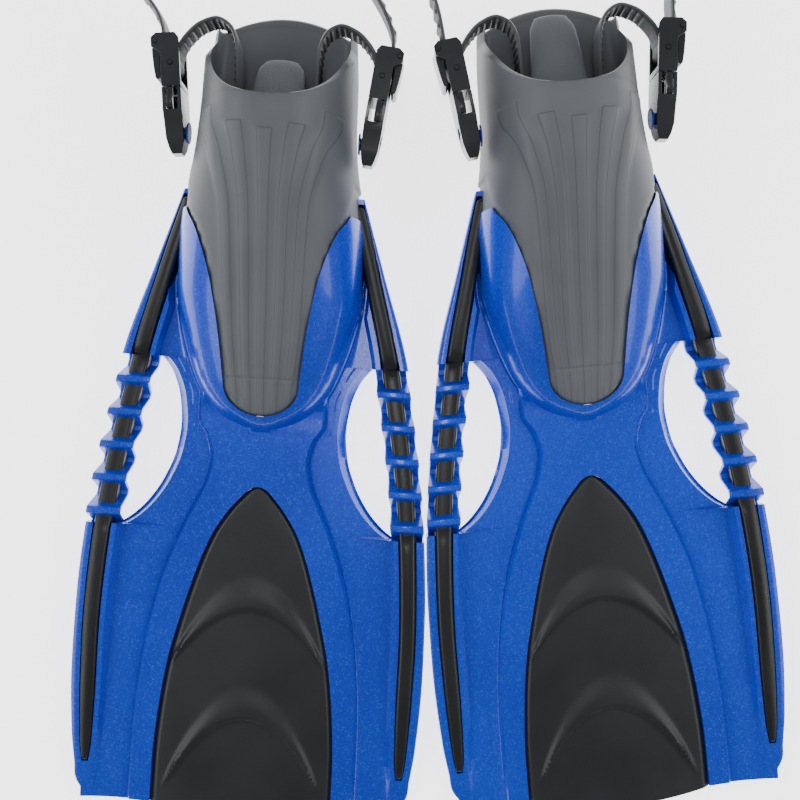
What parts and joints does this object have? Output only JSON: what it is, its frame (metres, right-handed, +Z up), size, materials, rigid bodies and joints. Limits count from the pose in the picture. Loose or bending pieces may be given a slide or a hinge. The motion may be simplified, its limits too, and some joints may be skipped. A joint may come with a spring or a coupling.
{
  "type": "swim fins",
  "caption": "Open-heel swim fins with vented blades, stiffening rails, soft rubber inserts and quick-release buckles on adjustable heel straps.",
  "frame": {"origin": "on the ground, at the centre of the box round both fins", "axes": "+Y towards the heels, +X to the right fin's side, +Z up"},
  "size_m": [0.4508, 0.5281, 0.095],
  "materials": {
    "blue_plastic": "glossy, pearl metallic flake",
    "black_rubber": "satin",
    "grey_rubber": "matte",
    "black_plastic": "glossy"
  },
  "bodies": {
    "left_fin": {"left_blade": "blue_plastic", "left_center_insert": "black_rubber", "left_rail_inner": "black_rubber", "left_rail_outer": "black_rubber", "left_foot_pocket": "grey_rubber", "left_stud_inner": "blue_plastic", "left_stud_outer": "blue_plastic"},
    "left_buckle_outer": {"left_buckle_base_outer": "black_plastic"},
    "left_buckle_inner": {"left_buckle_base_inner": "black_plastic"},
    "left_strap": {"left_heel_strap": "grey_rubber", "left_strap_clip_outer": "black_plastic", "left_strap_clip_inner": "black_plastic", "left_pawl_pin_outer": "black_plastic", "left_pawl_pin_inner": "black_plastic"},
    "left_lever_outer": {"left_pawl_lever_outer": "black_plastic"},
    "left_roller_body_outer": {"left_roller_outer": "black_plastic"},
    "left_prong_outer_top": {"left_release_prong_outer_top": "black_plastic"},
    "left_prong_outer_bottom": {"left_release_prong_outer_bottom": "black_plastic"},
    "left_lever_inner": {"left_pawl_lever_inner": "black_plastic"},
    "left_roller_body_inner": {"left_roller_inner": "black_plastic"},
    "left_prong_inner_top": {"left_release_prong_inner_top": "black_plastic"},
    "left_prong_inner_bottom": {"left_release_prong_inner_bottom": "black_plastic"},
    "right_fin": {"right_blade": "blue_plastic", "right_center_insert": "black_rubber", "right_rail_inner": "black_rubber", "right_rail_outer": "black_rubber", "right_foot_pocket": "grey_rubber", "right_stud_inner": "blue_plastic", "right_stud_outer": "blue_plastic"},
    "right_buckle_outer": {"right_buckle_base_outer": "black_plastic"},
    "right_buckle_inner": {"right_buckle_base_inner": "black_plastic"},
    "right_strap": {"right_heel_strap": "grey_rubber", "right_strap_clip_outer": "black_plastic", "right_strap_clip_inner": "black_plastic", "right_pawl_pin_outer": "black_plastic", "right_pawl_pin_inner": "black_plastic"},
    "right_lever_outer": {"right_pawl_lever_outer": "black_plastic"},
    "right_roller_body_outer": {"right_roller_outer": "black_plastic"},
    "right_prong_outer_top": {"right_release_prong_outer_top": "black_plastic"},
    "right_prong_outer_bottom": {"right_release_prong_outer_bottom": "black_plastic"},
    "right_lever_inner": {"right_pawl_lever_inner": "black_plastic"},
    "right_roller_body_inner": {"right_roller_inner": "black_plastic"},
    "right_prong_inner_top": {"right_release_prong_inner_top": "black_plastic"},
    "right_prong_inner_bottom": {"right_release_prong_inner_bottom": "black_plastic"}
  },
  "joints": [
    {"name": "left_strap_swing_outer", "type": "hinge", "parent": "left_fin", "child": "left_buckle_outer", "pos_m": [-0.08715, 0.15732, 0.045], "axis": [0.9968, -0.0802, 0], "range_deg": [0, 45]},
    {"name": "left_strap_swing_inner", "type": "hinge", "parent": "left_fin", "child": "left_buckle_inner", "pos_m": [-0.08715, 0.15732, 0.045], "axis": [0.9968, -0.0802, 0], "range_deg": [0, 45]},
    {"name": "left_strap_release", "type": "slide", "parent": "left_buckle_outer", "child": "left_strap", "axis": [0.0802, 0.9968, 0], "range_m": [0, 0.013]},
    {"name": "left_pawl_lift_outer", "type": "hinge", "parent": "left_strap", "child": "left_lever_outer", "pos_m": [-0.15487, 0.21317, 0.045], "axis": [0, 0, -1], "range_deg": [0, 35], "stiffness_Nm_per_rad": 0.05},
    {"name": "left_roller_turn_outer", "type": "hinge", "parent": "left_strap", "child": "left_roller_body_outer", "pos_m": [-0.14624, 0.20045, 0.045], "axis": [0, 0, 1], "continuous": true},
    {"name": "left_prong_squeeze_outer_top", "type": "slide", "parent": "left_strap", "child": "left_prong_outer_top", "axis": [0, 0, -1], "range_m": [0, 0.0016], "stiffness_N_per_m": 900},
    {"name": "left_prong_squeeze_outer_bottom", "type": "slide", "parent": "left_strap", "child": "left_prong_outer_bottom", "axis": [0, 0, 1], "range_m": [0, 0.0016], "stiffness_N_per_m": 900},
    {"name": "left_pawl_lift_inner", "type": "hinge", "parent": "left_strap", "child": "left_lever_inner", "pos_m": [-0.01138, 0.20163, 0.045], "axis": [0, 0, 1], "range_deg": [0, 35], "stiffness_Nm_per_rad": 0.05},
    {"name": "left_roller_turn_inner", "type": "hinge", "parent": "left_strap", "child": "left_roller_body_inner", "pos_m": [-0.02193, 0.19045, 0.045], "axis": [0, 0, 1], "continuous": true},
    {"name": "left_prong_squeeze_inner_top", "type": "slide", "parent": "left_strap", "child": "left_prong_inner_top", "axis": [0, 0, -1], "range_m": [0, 0.0016], "stiffness_N_per_m": 900},
    {"name": "left_prong_squeeze_inner_bottom", "type": "slide", "parent": "left_strap", "child": "left_prong_inner_bottom", "axis": [0, 0, 1], "range_m": [0, 0.0016], "stiffness_N_per_m": 900},
    {"name": "right_fin_apart", "type": "slide", "parent": "left_fin", "child": "right_fin", "axis": [1, 0, 0], "range_m": [0, 0.15]},
    {"name": "right_strap_swing_outer", "type": "hinge", "parent": "right_fin", "child": "right_buckle_outer", "pos_m": [0.08715, 0.16132, 0.045], "axis": [0.9968, 0.0802, 0], "range_deg": [0, 45]},
    {"name": "right_strap_swing_inner", "type": "hinge", "parent": "right_fin", "child": "right_buckle_inner", "pos_m": [0.08715, 0.16132, 0.045], "axis": [0.9968, 0.0802, 0], "range_deg": [0, 45]},
    {"name": "right_strap_release", "type": "slide", "parent": "right_buckle_outer", "child": "right_strap", "axis": [-0.0802, 0.9968, 0], "range_m": [0, 0.013]},
    {"name": "right_pawl_lift_outer", "type": "hinge", "parent": "right_strap", "child": "right_lever_outer", "pos_m": [0.15487, 0.21717, 0.045], "axis": [0, 0, 1], "range_deg": [0, 35], "stiffness_Nm_per_rad": 0.05},
    {"name": "right_roller_turn_outer", "type": "hinge", "parent": "right_strap", "child": "right_roller_body_outer", "pos_m": [0.14624, 0.20445, 0.045], "axis": [0, 0, 1], "continuous": true},
    {"name": "right_prong_squeeze_outer_top", "type": "slide", "parent": "right_strap", "child": "right_prong_outer_top", "axis": [0, 0, -1], "range_m": [0, 0.0016], "stiffness_N_per_m": 900},
    {"name": "right_prong_squeeze_outer_bottom", "type": "slide", "parent": "right_strap", "child": "right_prong_outer_bottom", "axis": [0, 0, 1], "range_m": [0, 0.0016], "stiffness_N_per_m": 900},
    {"name": "right_pawl_lift_inner", "type": "hinge", "parent": "right_strap", "child": "right_lever_inner", "pos_m": [0.01138, 0.20563, 0.045], "axis": [0, 0, -1], "range_deg": [0, 35], "stiffness_Nm_per_rad": 0.05},
    {"name": "right_roller_turn_inner", "type": "hinge", "parent": "right_strap", "child": "right_roller_body_inner", "pos_m": [0.02193, 0.19445, 0.045], "axis": [0, 0, 1], "continuous": true},
    {"name": "right_prong_squeeze_inner_top", "type": "slide", "parent": "right_strap", "child": "right_prong_inner_top", "axis": [0, 0, -1], "range_m": [0, 0.0016], "stiffness_N_per_m": 900},
    {"name": "right_prong_squeeze_inner_bottom", "type": "slide", "parent": "right_strap", "child": "right_prong_inner_bottom", "axis": [0, 0, 1], "range_m": [0, 0.0016], "stiffness_N_per_m": 900}
  ],
  "couplings": [
    {"joint": "left_strap_swing_inner", "follows": "left_strap_swing_outer", "ratio": 1},
    {"joint": "left_prong_squeeze_outer_bottom", "follows": "left_prong_squeeze_outer_top", "ratio": 1},
    {"joint": "left_prong_squeeze_inner_bottom", "follows": "left_prong_squeeze_inner_top", "ratio": 1},
    {"joint": "right_strap_swing_inner", "follows": "right_strap_swing_outer", "ratio": 1},
    {"joint": "right_prong_squeeze_outer_bottom", "follows": "right_prong_squeeze_outer_top", "ratio": 1},
    {"joint": "right_prong_squeeze_inner_bottom", "follows": "right_prong_squeeze_inner_top", "ratio": 1}
  ]
}
